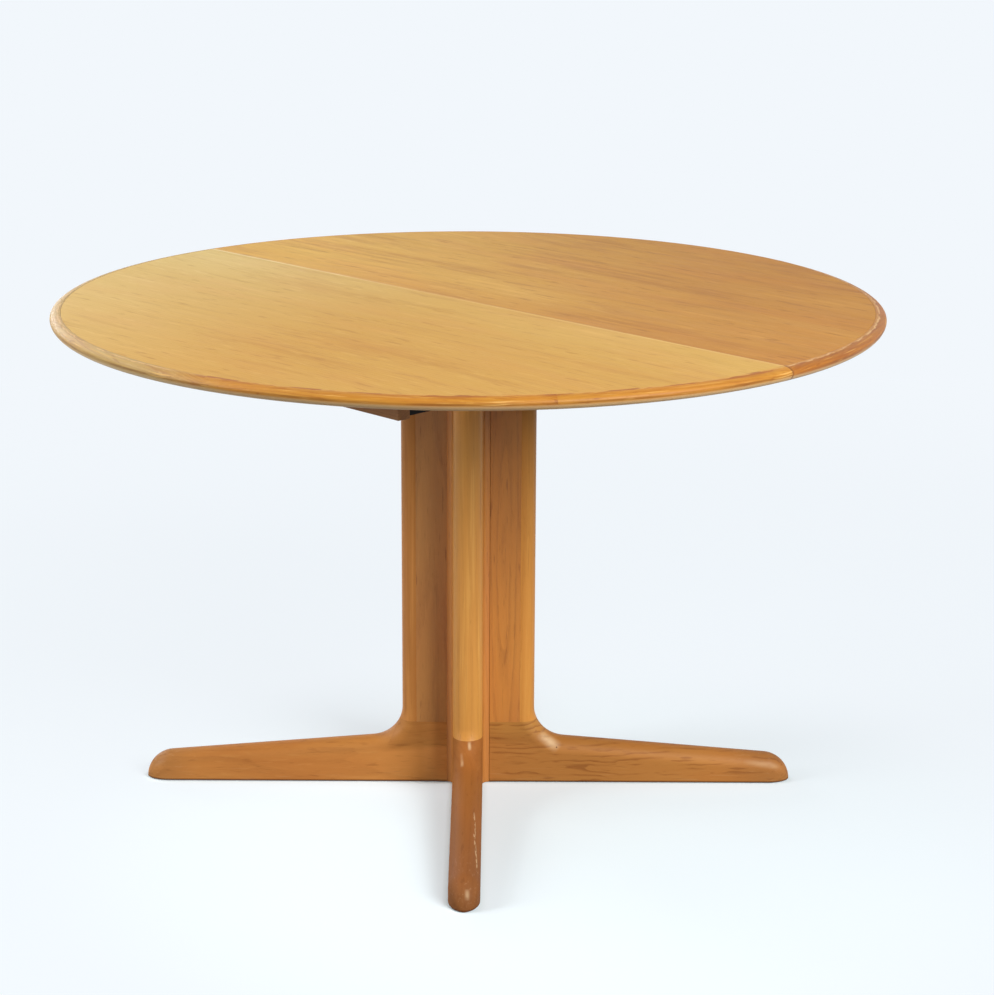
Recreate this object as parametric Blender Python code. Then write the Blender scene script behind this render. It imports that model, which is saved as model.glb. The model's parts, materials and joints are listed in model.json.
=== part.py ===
# Round extending dining table on a split four-fin pedestal.
# Metres, +Z up, origin on the floor under the middle of the top.
# The seam of the top lies along Y. The near half (X below 0) slides out along -X.

import math

import bmesh
import bpy
from mathutils import Matrix, Vector

# Whole table
TABLE_HEIGHT = 0.727
TOP_DIAMETER = 1.180
TOP_THICKNESS = 0.019

# Clearances
GLUE_GAP = 0.0003
SEAM_GAP = 0.0006
BASE_GAP = 0.0024
RUNNING_GAP = 0.0004

# Lipping round the top, rolled over above and rounded below
LIPPING_WIDTH = 0.015
LIPPING_ROLL_HEIGHT = 0.0085
LIPPING_UNDERCUT = 0.013
LIPPING_SEGMENTS = 4
SEAM_EDGING_WIDTH = 0.005
# Steps of the rim by which the lipping's joints stand off even spacing
LIPPING_SHIFT = {"near": 3, "far": -2}

# Pins that line up the two halves of the top
SEAM_PINS = 3
SEAM_PIN_RADIUS = 0.0045
SEAM_PIN_LENGTH = 0.030
SEAM_PIN_SPACING = 0.400

# Fins of the pedestal, each a panel with a half-round post on its outer edge
FIN_THICKNESS = 0.0432
FIN_REACH = 0.098
CORE_WIDTH = 0.0635
CORE_TOP_DROP = 0.002

# Legs
LEG_REACH = 0.4805
LEG_ROOT_HEIGHT = 0.067
LEG_SLOPE = 0.0823
LEG_JOINT_HEIGHT = 0.096
FILLET_RADIUS = 0.0475
TIP_TAPER = 0.9
NOSE_SHARE = 0.6

# Glides under the legs
GLIDE_RADIUS = 0.013
GLIDE_THICKNESS = 0.001
GLIDE_INSET = 0.039
GLIDE_STEM_RADIUS = 0.0025
GLIDE_STEM_LENGTH = 0.012

# Bearers between the pedestal and the top
BEARER_WIDTH = 0.200
BEARER_THICKNESS = 0.028
BEARER_CORNER = 0.020

# End rails that tie the slides
RAIL_SETBACK = 0.228
RAIL_THICKNESS = 0.020
RAIL_HEIGHT = 0.0507
RAIL_OVERHANG = 0.009

# Slides: a far channel outside, a near channel inside and a bar that runs in both
SLIDE_OUTER = 0.2335
CHANNEL_HEIGHT = 0.050
CHANNEL_DEPTH = 0.015
CHANNEL_WALL = 0.002
CHANNEL_SPACE = 0.003
SLIDE_END_ROOM = 0.005

# Screws
FIN_SCREW_RADIUS = 0.003
FIN_SCREW_GRIP = 0.032
RAIL_SCREW_RADIUS = 0.0025
RAIL_SCREW_GRIP = 0.014
RAIL_SCREW_SPACING = 0.300
SCREW_HEAD_RATIO = 2.0
SCREW_HEAD_SINK = 0.0005

# Locks that hold the halves together
LOCK_FROM_SLIDE = 0.098
LOCK_SETBACK = 0.022
LOCK_STUD_RADIUS = 0.004
LOCK_PLATE_LENGTH = 0.032
LOCK_PLATE_WIDTH = 0.040
LOCK_PLATE_THICKNESS = 0.0025
LOCK_STUD_DROP = 0.007
LOCK_HEAD_HEIGHT = 0.0025
LOCK_HEAD_FLANGE = 0.003
HOOK_THICKNESS = 0.004
HOOK_HUB = 0.010
HOOK_JAW = 0.007
HOOK_ARM_ANGLE = 28.0
HOOK_JAW_ANGLE = 12.0
HOOK_NOSE_ANGLE = 6.0
HOOK_HUB_START = 60.0
HOOK_HUB_END = 260.0
HOOK_TURN = 90.0

# Facets
ARC_STEP = 3.75
ROUND_SIDES = 18
SCREW_SIDES = 12
NOSE_STEPS = 8
FILLET_STEPS = 10
LEG_STEPS = 6
TIP_STEPS = 8
COVE_STEPS = 6
ROLL_STEPS = 6
HOOK_STEP = 5.0
SHARP_ANGLE = 30.0

# Sizes that follow from the driving dimensions
TOP_RADIUS = TOP_DIAMETER / 2
FIELD_RADIUS = TOP_RADIUS - LIPPING_WIDTH
UNDERSIDE = TABLE_HEIGHT - TOP_THICKNESS
SEAM_FACE = SEAM_GAP / 2
EDGING_FACE = SEAM_FACE + SEAM_EDGING_WIDTH
PIN_HEIGHT = TABLE_HEIGHT - TOP_THICKNESS / 2

FIN_HALF = FIN_THICKNESS / 2
CORE_HALF = CORE_WIDTH / 2
COVE_RADIUS = CORE_HALF - FIN_HALF
FIN_ROOT = CORE_HALF + GLUE_GAP
POST_FACE = FIN_REACH - FIN_HALF
LEG_BOTTOM = GLIDE_THICKNESS + GLUE_GAP
BEARER_TOP = UNDERSIDE - GLUE_GAP
BEARER_BOTTOM = BEARER_TOP - BEARER_THICKNESS
FIN_TOP = BEARER_BOTTOM - GLUE_GAP
FIN_SCREW_PLACE = (FIN_ROOT + POST_FACE) / 2

RAIL_TOP = UNDERSIDE - GLUE_GAP
RAIL_BOTTOM = RAIL_TOP - RAIL_HEIGHT
RAIL_OUTER_FACE = TOP_RADIUS - RAIL_SETBACK
RAIL_INNER_FACE = RAIL_OUTER_FACE - RAIL_THICKNESS
RAIL_HALF_LENGTH = SLIDE_OUTER + RAIL_OVERHANG
SLIDE_SEAT = RAIL_INNER_FACE - GLUE_GAP
SLIDE_FREE_END = RAIL_INNER_FACE - SLIDE_END_ROOM
CHANNEL_BOTTOM = RAIL_TOP - CHANNEL_HEIGHT
SLIDE_INNER = SLIDE_OUTER - 2 * CHANNEL_DEPTH - CHANNEL_SPACE

LOCK_PLACE = SLIDE_OUTER + LOCK_FROM_SLIDE
LOCK_REACH = 2 * LOCK_SETBACK
LOCK_PLATE_TOP = UNDERSIDE - GLUE_GAP
LOCK_PLATE_BOTTOM = LOCK_PLATE_TOP - LOCK_PLATE_THICKNESS
HOOK_TOP = LOCK_PLATE_BOTTOM - GLUE_GAP
HOOK_BOTTOM = HOOK_TOP - HOOK_THICKNESS

# Directions of the fins about Z, in degrees, and the half each belongs to
FINS = {"front": (225.0, "near"), "left": (135.0, "near"), "right": (315.0, "far"), "back": (45.0, "far")}
HALVES = {"near": -1, "far": 1}
SIDES = {"left": 1, "right": -1}

# Finishes: linear colour, roughness, metallic
PALE_OAK = ((0.63, 0.38, 0.15), 0.38, 0.0)
GOLDEN_OAK = ((0.56, 0.31, 0.11), 0.38, 0.0)
BROWN_OAK = ((0.42, 0.20, 0.07), 0.42, 0.0)
ORANGE_OAK = ((0.52, 0.25, 0.07), 0.40, 0.0)
SHADED_OAK = ((0.14, 0.07, 0.03), 0.60, 0.0)
BLACK_STEEL = ((0.012, 0.011, 0.010), 0.45, 0.9)
BRIGHT_STEEL = ((0.56, 0.55, 0.53), 0.35, 1.0)
BRASS = ((0.62, 0.44, 0.16), 0.30, 1.0)
NYLON = ((0.05, 0.04, 0.03), 0.60, 0.0)


# Shapes

def loft(rings):
    # A closed body through rings of points. A ring of one point is a pole, and open ends are capped.
    shape = bmesh.new()
    rows = [[shape.verts.new(point) for point in ring] for ring in rings]
    for row, following in zip(rows, rows[1:]):
        for index in range(len(row)):
            after = (index + 1) % len(row)
            if len(following) == 1:
                shape.faces.new((row[index], row[after], following[0]))
            else:
                shape.faces.new((row[index], row[after], following[after], following[index]))
    for row in (rows[0], rows[-1]):
        if len(row) > 2:
            shape.faces.new(row)
    bmesh.ops.recalc_face_normals(shape, faces=shape.faces)
    return shape


def upright(outline, low, high):
    # A prism over an outline in X and Y.
    return loft([[(x, y, z) for x, y in outline] for z in (low, high)])


def along_x(outline, start, end):
    # A prism along X over an outline in Y and Z.
    return loft([[(x, y, z) for y, z in outline] for x in (start, end)])


def rectangle(low, high):
    return [(low[0], low[1]), (high[0], low[1]), (high[0], high[1]), (low[0], high[1])]


def arc(centre, radius, start, end, steps):
    # Points of an arc, angles in degrees.
    angles = [math.radians(start + (end - start) * step / steps) for step in range(steps + 1)]
    return [(centre[0] + radius * math.cos(a), centre[1] + radius * math.sin(a)) for a in angles]


def circle(radius, height, sides):
    angles = [2 * math.pi * step / sides for step in range(sides)]
    return [(radius * math.cos(a), radius * math.sin(a), height) for a in angles]


def turned(profile, sides):
    # A turned body from (radius, height) pairs. A radius of 0 is a pole at the end.
    rings = []
    for radius, height in profile:
        rings.append(circle(radius, height, sides) if radius > 0 else [(0.0, 0.0, height)])
    return loft(rings)


def keep_below(shape, point, normal):
    # Cuts the body with a plane and keeps what lies against the normal.
    geometry = shape.verts[:] + shape.edges[:] + shape.faces[:]
    cut = bmesh.ops.bisect_plane(
        shape, geom=geometry, dist=1e-7, plane_co=point, plane_no=normal, clear_outer=True)
    rim = [item for item in cut["geom_cut"] if isinstance(item, bmesh.types.BMEdge)]
    bmesh.ops.edgeloop_fill(shape, edges=rim)
    bmesh.ops.recalc_face_normals(shape, faces=shape.faces)
    return shape


# Objects

def finish_material(name, finish):
    colour, roughness, metallic = finish
    material = bpy.data.materials.new(name + "_finish")
    material.use_nodes = True
    shader = material.node_tree.nodes["Principled BSDF"]
    shader.inputs["Base Color"].default_value = (*colour, 1.0)
    shader.inputs["Roughness"].default_value = roughness
    shader.inputs["Metallic"].default_value = metallic
    material.diffuse_color = (*colour, 1.0)
    return material


def add_object(name, shape, parent, location=(0.0, 0.0, 0.0), turn=0.0):
    mesh = bpy.data.meshes.new(name)
    shape.to_mesh(mesh)
    shape.free()
    mesh.shade_smooth()
    mesh.set_sharp_from_angle(angle=math.radians(SHARP_ANGLE))
    item = bpy.data.objects.new(name, mesh)
    bpy.context.scene.collection.objects.link(item)
    item.parent = parent
    item.location = location
    item.rotation_euler = (0.0, 0.0, math.radians(turn))
    return item


def add_part(name, shape, finish, parent, location=(0.0, 0.0, 0.0), turn=0.0):
    part = add_object(name, shape, parent, location, turn)
    part.data.materials.append(finish_material(name, finish))
    return part


def add_tool(name, shape, parent, location=(0.0, 0.0, 0.0), turn=0.0):
    # A body that only cuts or joins others.
    tool = add_object(name, shape, parent, location, turn)
    tool.hide_render = True
    tool.display_type = "WIRE"
    return tool


def combine(part, tool, operation="DIFFERENCE"):
    modifier = part.modifiers.new(tool.name, "BOOLEAN")
    modifier.operation = operation
    modifier.solver = "EXACT"
    modifier.object = tool


def add_empty(name):
    empty = bpy.data.objects.new(name, None)
    bpy.context.scene.collection.objects.link(empty)
    return empty


# Top

def lipping_profile():
    # Radius and height pairs round the section of the lipping.
    inner = FIELD_RADIUS
    roll_centre = TABLE_HEIGHT - LIPPING_ROLL_HEIGHT
    under_height = TOP_THICKNESS - LIPPING_ROLL_HEIGHT
    points = [(inner, UNDERSIDE), (inner, TABLE_HEIGHT)]
    for step in range(1, ROLL_STEPS + 1):
        angle = math.pi / 2 * (1 - step / ROLL_STEPS)
        across = LIPPING_WIDTH * math.cos(angle)
        points.append((inner + across, roll_centre + LIPPING_ROLL_HEIGHT * math.sin(angle)))
    for step in range(1, ROLL_STEPS + 1):
        angle = math.pi / 2 * step / ROLL_STEPS
        back = LIPPING_UNDERCUT * (1 - math.cos(angle))
        points.append((TOP_RADIUS - back, roll_centre - under_height * math.sin(angle)))
    return points


def lipping_segment(start, end):
    # One lipping segment between two directions in degrees, ending clear of its neighbours.
    margin = math.degrees(SEAM_FACE / FIELD_RADIUS)
    steps = round((end - start) / ARC_STEP)
    angles = [start + (end - start) * step / steps for step in range(steps + 1)]
    angles[0] += margin
    angles[-1] -= margin
    profile = lipping_profile()
    rings = []
    for angle in angles:
        across = math.cos(math.radians(angle))
        along = math.sin(math.radians(angle))
        rings.append([(r * across, r * along, z) for r, z in profile])
    return loft(rings)


def pin_places():
    return [(number - (SEAM_PINS - 1) / 2) * SEAM_PIN_SPACING for number in range(SEAM_PINS)]


def edging_shape(side):
    # A strip along the seam, with a short length of its own round each pin.
    edge = FIELD_RADIUS - GLUE_GAP
    seam_end = math.sqrt(edge ** 2 - EDGING_FACE ** 2)
    stations = [-seam_end]
    for place in pin_places():
        stations += [place - SEAM_PIN_LENGTH, place + SEAM_PIN_LENGTH]
    stations.append(seam_end)
    section = rectangle((side * SEAM_FACE, UNDERSIDE), (side * EDGING_FACE, TABLE_HEIGHT))
    return loft([[(x, y, z) for x, z in section] for y in stations])


def panel_outline(side):
    # A half disc, whose rim has corners in the same directions as the lipping.
    edge = FIELD_RADIUS - GLUE_GAP
    face = EDGING_FACE + GLUE_GAP
    seam_end = math.sqrt(edge ** 2 - face ** 2)
    rim = arc((0.0, 0.0), edge, -90 + ARC_STEP, 90 - ARC_STEP, round(180 / ARC_STEP) - 2)
    points = [(face, -seam_end)] + rim + [(face, seam_end)]
    return [(side * x, y) for x, y in points]


def build_top(half, side, parent, pin_tools):
    panel_finish = PALE_OAK if half == "near" else GOLDEN_OAK
    rim_finish = ORANGE_OAK if half == "near" else BROWN_OAK
    panel = add_part(half + "_top_panel", upright(panel_outline(side), UNDERSIDE, TABLE_HEIGHT),
                     panel_finish, parent)
    edging = add_part(half + "_seam_edging", edging_shape(side), rim_finish, parent)
    for tool in pin_tools:
        combine(panel, tool)
        combine(edging, tool)
    first = -90.0 if side > 0 else 90.0
    span = 180.0 / LIPPING_SEGMENTS
    joints = [first + number * span for number in range(LIPPING_SEGMENTS + 1)]
    for number in range(1, LIPPING_SEGMENTS):
        joints[number] += LIPPING_SHIFT[half] * ARC_STEP
    for number in range(LIPPING_SEGMENTS):
        segment = lipping_segment(joints[number], joints[number + 1])
        add_part(f"{half}_lipping_{number + 1}", segment, rim_finish, parent)
    return panel


def pin_shape(radius, half_length):
    # A round bar along X.
    return along_x(arc((0.0, 0.0), radius, 0, 360, ROUND_SIDES)[:-1], -half_length, half_length)


def build_seam_pins(parent):
    tools = []
    for number, along_seam in enumerate(pin_places(), start=1):
        place = (0.0, along_seam, PIN_HEIGHT)
        name = f"seam_pin_{number}"
        add_part(name, pin_shape(SEAM_PIN_RADIUS, SEAM_PIN_LENGTH / 2), BRASS, parent, place)
        bore = pin_shape(SEAM_PIN_RADIUS + GLUE_GAP, SEAM_PIN_LENGTH / 2 + GLUE_GAP)
        tools.append(add_tool(name + "_bore", bore, parent, place))
    return tools


# Pedestal

def core_outline():
    # A square with a hollow cove at each corner, its flats as wide as the fins.
    quarter = arc((CORE_HALF, CORE_HALF), COVE_RADIUS, 270, 180, COVE_STEPS)
    points = []
    for turn in range(4):
        rotation = Matrix.Rotation(math.radians(90 * turn), 2)
        points += [tuple(rotation @ Vector(point)) for point in quarter]
    return points


def build_core(half, side, parent):
    # The split runs across the core from one root of the right fin to the opposite root of the left fin.
    turn = FINS["right"][0]
    normal = Vector((FIN_HALF, CORE_HALF, 0.0)).normalized() * -side
    shape = upright(core_outline(), LEG_BOTTOM, FIN_TOP - CORE_TOP_DROP)
    keep_below(shape, -normal * BASE_GAP / 2, normal)
    add_part(half + "_core", shape, BROWN_OAK, parent, turn=turn)


def fin_section(outer, inner, half_width, nose):
    # Section from the outer line to the inner one, half-round at the outer edge. X is reach, Y is thickness.
    reach = Vector((inner[0] - outer[0], 0.0, inner[1] - outer[1]))
    inward = reach.normalized()
    apex = Vector((outer[0], 0.0, outer[1]))
    across = Vector((0.0, half_width, 0.0))
    points = [apex + reach - across]
    for step in range(NOSE_STEPS + 1):
        angle = math.pi * (step / NOSE_STEPS - 0.5)
        points.append(apex + inward * nose * (1 - math.cos(angle)) + across * math.sin(angle))
    points.append(apex + reach + across)
    return points


def fillet_sections(centre, last_angle):
    # Sections that fan round the centre of the fillet, one of them through the lower inner corner.
    corner_angle = math.atan2(centre[1] - LEG_BOTTOM, centre[0] - FIN_ROOT)
    angles = [last_angle * step / FILLET_STEPS for step in range(FILLET_STEPS + 1)]
    nearest = min(range(1, FILLET_STEPS), key=lambda step: abs(angles[step] - corner_angle))
    angles[nearest] = corner_angle
    sections = []
    for step, angle in enumerate(angles):
        across = math.cos(angle)
        down = math.sin(angle)
        outer = (centre[0] - FILLET_RADIUS * across, centre[1] - FILLET_RADIUS * down)
        if step <= nearest:
            inner = (FIN_ROOT, centre[1] - (centre[0] - FIN_ROOT) * math.tan(angle))
        else:
            inner = (centre[0] - (centre[1] - LEG_BOTTOM) / math.tan(angle), LEG_BOTTOM)
        sections.append(fin_section(outer, inner, FIN_HALF, FIN_HALF))
    return sections


def tip_sections(radius, length):
    # Upright sections of the rounded tip, narrowing to a point on the floor side at the leg's full reach.
    sections = []
    for step in range(TIP_STEPS):
        angle = math.pi / 2 * step / TIP_STEPS
        back = length * (1 - math.sin(angle))
        place = LEG_REACH - back
        rise = math.sqrt(radius ** 2 - (radius - back) ** 2)
        nose = min(FIN_HALF, NOSE_SHARE * rise)
        outer = (place, LEG_BOTTOM + rise)
        sections.append(fin_section(outer, (place, LEG_BOTTOM), FIN_HALF * math.cos(angle), nose))
    sections.append([(LEG_REACH, 0.0, LEG_BOTTOM)])
    return sections


def fin_blank():
    # Fin and leg in one, before they are sawn apart: reach along +X, thickness along Y.
    lean = math.atan(LEG_SLOPE)
    last_angle = math.pi / 2 - lean
    centre = (FIN_REACH + FILLET_RADIUS, LEG_ROOT_HEIGHT + FILLET_RADIUS * math.sin(last_angle))
    sections = [fin_section((FIN_REACH, FIN_TOP), (FIN_ROOT, FIN_TOP), FIN_HALF, FIN_HALF)]
    sections += fillet_sections(centre, last_angle)
    root_place = centre[0] - FILLET_RADIUS * math.cos(last_angle)
    end_rise = LEG_ROOT_HEIGHT - LEG_SLOPE * (LEG_REACH - root_place) - LEG_BOTTOM
    tip_radius = end_rise * math.cos(lean) / (1 - math.sin(lean))
    tip_length = tip_radius * (1 - math.sin(lean))
    tip_place = LEG_REACH - tip_length
    for step in range(1, LEG_STEPS + 1):
        share = step / LEG_STEPS
        place = root_place + (tip_place - root_place) * share
        top = LEG_ROOT_HEIGHT - LEG_SLOPE * (place - root_place)
        foot = place - LEG_SLOPE * (1 - share) * (top - LEG_BOTTOM)
        sections.append(fin_section((place, top), (foot, LEG_BOTTOM), FIN_HALF, FIN_HALF))
    sections += tip_sections(tip_radius, TIP_TAPER * tip_length)
    return loft(sections)


def build_fin(name, turn, parent, bearer):
    half_gap = GLUE_GAP / 2
    down = Vector((0.0, 0.0, -1.0))
    outward = Vector((1.0, 0.0, 0.0))
    above_joint = Vector((0.0, 0.0, LEG_JOINT_HEIGHT + half_gap))
    leg_shape = keep_below(fin_blank(), Vector((0.0, 0.0, LEG_JOINT_HEIGHT - half_gap)), -down)
    panel_shape = keep_below(fin_blank(), above_joint, down)
    keep_below(panel_shape, Vector((POST_FACE - half_gap, 0.0, 0.0)), outward)
    post_shape = keep_below(fin_blank(), above_joint, down)
    keep_below(post_shape, Vector((POST_FACE + half_gap, 0.0, 0.0)), -outward)
    leg = add_part(name + "_leg", leg_shape, ORANGE_OAK, parent, turn=turn)
    panel = add_part(name + "_panel", panel_shape, BROWN_OAK, parent, turn=turn)
    add_part(name + "_post", post_shape, GOLDEN_OAK, parent, turn=turn)

    direction = Matrix.Rotation(math.radians(turn), 3, "Z") @ outward
    glide_place = direction * (LEG_REACH - GLIDE_INSET)
    add_part(name + "_glide", glide_shape(0.0), NYLON, parent, glide_place, turn)
    combine(leg, add_tool(name + "_glide_bore", glide_shape(GLUE_GAP), parent, glide_place, turn))

    screw_place = direction * FIN_SCREW_PLACE
    length = BEARER_THICKNESS - SCREW_HEAD_SINK + FIN_SCREW_GRIP
    screw_place.z = BEARER_TOP - SCREW_HEAD_SINK
    add_part(name + "_fin_screw", screw_shape(FIN_SCREW_RADIUS, length), BRIGHT_STEEL, parent, screw_place)
    bore = add_tool(name + "_fin_screw_bore", screw_bore(FIN_SCREW_RADIUS, length), parent, screw_place)
    combine(bearer, bore)
    combine(panel, bore)


def glide_shape(gap):
    # A disc with a stem that is driven up into the leg.
    stem_top = GLIDE_THICKNESS + GLIDE_STEM_LENGTH + gap
    stem = GLIDE_STEM_RADIUS + gap
    profile = [(GLIDE_RADIUS + gap, 0.0), (GLIDE_RADIUS + gap, GLIDE_THICKNESS),
               (stem, GLIDE_THICKNESS), (stem, stem_top)]
    return turned(profile, ROUND_SIDES)


def screw_shape(radius, length):
    # A countersunk screw with its head at the top and its origin in the middle of the head.
    head = radius * SCREW_HEAD_RATIO
    taper = head - radius
    return turned([(head, 0.0), (radius, -taper), (radius, radius - length), (0.0, -length)], SCREW_SIDES)


def screw_bore(radius, length):
    # The screw's hole, open above its head.
    head = radius * SCREW_HEAD_RATIO + GLUE_GAP
    hole = radius + GLUE_GAP
    depth = radius * SCREW_HEAD_RATIO - radius
    opening = SCREW_HEAD_SINK + 2 * GLUE_GAP
    profile = [(head, opening), (head, 0.0), (hole, -depth), (hole, -length - GLUE_GAP)]
    return turned(profile, SCREW_SIDES)


# Frame under the top

def bearer_outline(side):
    # A board from the seam to the end rail, with its corners at the seam taken off.
    near_seam = BASE_GAP / 2
    end = RAIL_INNER_FACE - GLUE_GAP
    half = BEARER_WIDTH / 2
    points = [(near_seam, -half + BEARER_CORNER), (near_seam + BEARER_CORNER, -half), (end, -half),
              (end, half), (near_seam + BEARER_CORNER, half), (near_seam, half - BEARER_CORNER)]
    return [(side * x, y) for x, y in points]


def build_rail(half, side, parent, panel):
    low = (-RAIL_HALF_LENGTH, RAIL_BOTTOM)
    high = (RAIL_HALF_LENGTH, RAIL_TOP)
    rail = add_part(half + "_end_rail", along_x(rectangle(low, high), side * RAIL_INNER_FACE,
                    side * RAIL_OUTER_FACE), SHADED_OAK, parent)
    length = RAIL_HEIGHT - SCREW_HEAD_SINK + GLUE_GAP + RAIL_SCREW_GRIP
    upside_down = Matrix.Rotation(math.pi, 4, "X")
    for number, sign in enumerate((1, -1), start=1):
        name = f"{half}_rail_screw_{number}"
        place = (side * (RAIL_INNER_FACE + RAIL_THICKNESS / 2), sign * RAIL_SCREW_SPACING / 2,
                 RAIL_BOTTOM + SCREW_HEAD_SINK)
        screw = screw_shape(RAIL_SCREW_RADIUS, length)
        screw.transform(upside_down)
        add_part(name, screw, BRIGHT_STEEL, parent, place)
        bore_shape = screw_bore(RAIL_SCREW_RADIUS, length)
        bore_shape.transform(upside_down)
        bore = add_tool(name + "_bore", bore_shape, parent, place)
        combine(rail, bore)
        combine(panel, bore)


def channel_outline(hand, web, tip):
    # A C section between its web and its open side, on one side of the table.
    turn = math.copysign(CHANNEL_WALL, tip - web)
    low = CHANNEL_BOTTOM
    high = RAIL_TOP
    points = [(web, low), (tip, low), (tip, low + CHANNEL_WALL), (web + turn, low + CHANNEL_WALL),
              (web + turn, high - CHANNEL_WALL), (tip, high - CHANNEL_WALL), (tip, high), (web, high)]
    return [(hand * y, z) for y, z in points]


def build_slide(name, hand, near, middle, far):
    # Each channel is seated on the end rail of its own half and stops short of the other.
    far_section = channel_outline(hand, SLIDE_OUTER, SLIDE_OUTER - CHANNEL_DEPTH)
    near_section = channel_outline(hand, SLIDE_INNER, SLIDE_INNER + CHANNEL_DEPTH)
    add_part(name + "_far_channel", along_x(far_section, -SLIDE_FREE_END, SLIDE_SEAT), BLACK_STEEL, far)
    add_part(name + "_near_channel", along_x(near_section, -SLIDE_SEAT, SLIDE_FREE_END), BLACK_STEEL, near)
    play = CHANNEL_WALL + RUNNING_GAP
    low = (hand * (SLIDE_INNER + play), CHANNEL_BOTTOM + play)
    high = (hand * (SLIDE_OUTER - play), RAIL_TOP - play)
    add_part(name + "_slide_bar", along_x(rectangle(low, high), -SLIDE_FREE_END, SLIDE_FREE_END),
             BLACK_STEEL, middle)


# Locks

def hook_arc(centre, radius, start, end):
    return arc(centre, radius, start, end, math.ceil(abs(end - start) / HOOK_STEP))


def hook_outline(hand):
    # A hook in its closed position, pointing along +X from its pivot, with its slot open to the side it turns to.
    slot = LOCK_STUD_RADIUS + RUNNING_GAP
    rim = LOCK_REACH + slot + HOOK_JAW
    centre = (0.0, 0.0)
    points = hook_arc(centre, rim, -HOOK_ARM_ANGLE, HOOK_JAW_ANGLE)
    points += hook_arc(centre, LOCK_REACH + slot, HOOK_JAW_ANGLE, 0)
    points += arc((LOCK_REACH, 0.0), slot, 0, -180, ROUND_SIDES // 2)[1:]
    points += hook_arc(centre, LOCK_REACH - slot, 0, HOOK_NOSE_ANGLE)[1:]
    points += arc(centre, HOOK_HUB, HOOK_HUB_START, HOOK_HUB_END, ROUND_SIDES // 2)
    return [(x, hand * y) for x, y in points]


def lock_plate(side, hand, name, parent):
    centre = (side * LOCK_SETBACK, hand * LOCK_PLACE)
    low = (centre[0] - LOCK_PLATE_LENGTH / 2, centre[1] - LOCK_PLATE_WIDTH / 2)
    high = (centre[0] + LOCK_PLATE_LENGTH / 2, centre[1] + LOCK_PLATE_WIDTH / 2)
    shape = upright(rectangle(low, high), LOCK_PLATE_BOTTOM, LOCK_PLATE_TOP)
    return add_part(name, shape, BRIGHT_STEEL, parent)


def build_lock(name, hand, near, far):
    # The pivot hangs from its plate, through the hook, to a head below it.
    pivot_place = (-LOCK_SETBACK, hand * LOCK_PLACE, 0.0)
    plate = lock_plate(-1, hand, name + "_lock_plate", near)
    head = LOCK_STUD_RADIUS + LOCK_HEAD_FLANGE
    head_top = HOOK_BOTTOM - GLUE_GAP
    pivot = turned([(head, head_top - LOCK_HEAD_HEIGHT), (head, head_top), (LOCK_STUD_RADIUS, head_top),
                    (LOCK_STUD_RADIUS, LOCK_PLATE_TOP)], ROUND_SIDES)
    add_part(name + "_lock_pivot", pivot, BRIGHT_STEEL, near, pivot_place)
    bore_shape = turned([(LOCK_STUD_RADIUS + GLUE_GAP, head_top - GLUE_GAP),
                         (LOCK_STUD_RADIUS + GLUE_GAP, LOCK_PLATE_TOP + GLUE_GAP)], ROUND_SIDES)
    bore = add_tool(name + "_lock_pivot_bore", bore_shape, near, pivot_place)
    combine(plate, bore)

    hook_shape = upright(hook_outline(hand), HOOK_BOTTOM, HOOK_TOP)
    hook_shape.transform(Matrix.Rotation(math.radians(-HOOK_TURN * hand), 4, "Z"))
    hook = add_part(name + "_lock_hook", hook_shape, BRIGHT_STEEL, near, pivot_place)
    combine(hook, bore)

    stud_place = (LOCK_SETBACK, hand * LOCK_PLACE, 0.0)
    keeper = lock_plate(1, hand, name + "_lock_keeper", far)
    stud_shape = turned([(LOCK_STUD_RADIUS, LOCK_PLATE_BOTTOM - LOCK_STUD_DROP),
                         (LOCK_STUD_RADIUS, LOCK_PLATE_BOTTOM + LOCK_PLATE_THICKNESS / 2)], ROUND_SIDES)
    combine(keeper, add_tool(name + "_lock_stud", stud_shape, far, stud_place), "UNION")


# The table

def main():
    for item in list(bpy.data.objects):
        bpy.data.objects.remove(item, do_unlink=True)
    parents = {half: add_empty(half + "_half") for half in HALVES}
    middle = add_empty("slide_middle")
    middle.parent = parents["far"]
    parents["near"].parent = parents["far"]
    pin_tools = build_seam_pins(parents["near"])
    bearers = {}
    for half, side in HALVES.items():
        parent = parents[half]
        panel = build_top(half, side, parent, pin_tools)
        build_core(half, side, parent)
        build_rail(half, side, parent, panel)
        shape = upright(bearer_outline(side), BEARER_BOTTOM, BEARER_TOP)
        bearers[half] = add_part(half + "_bearer", shape, SHADED_OAK, parent)
    for name, (turn, half) in FINS.items():
        build_fin(name, turn, parents[half], bearers[half])
    for name, hand in SIDES.items():
        build_slide(name, hand, parents["near"], middle, parents["far"])
        build_lock(name, hand, parents["near"], parents["far"])


main()
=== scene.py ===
# Round extending oak table: camera, light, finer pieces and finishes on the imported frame.

import json
import math

import bmesh
import bpy
from mathutils import Matrix, Vector

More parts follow.
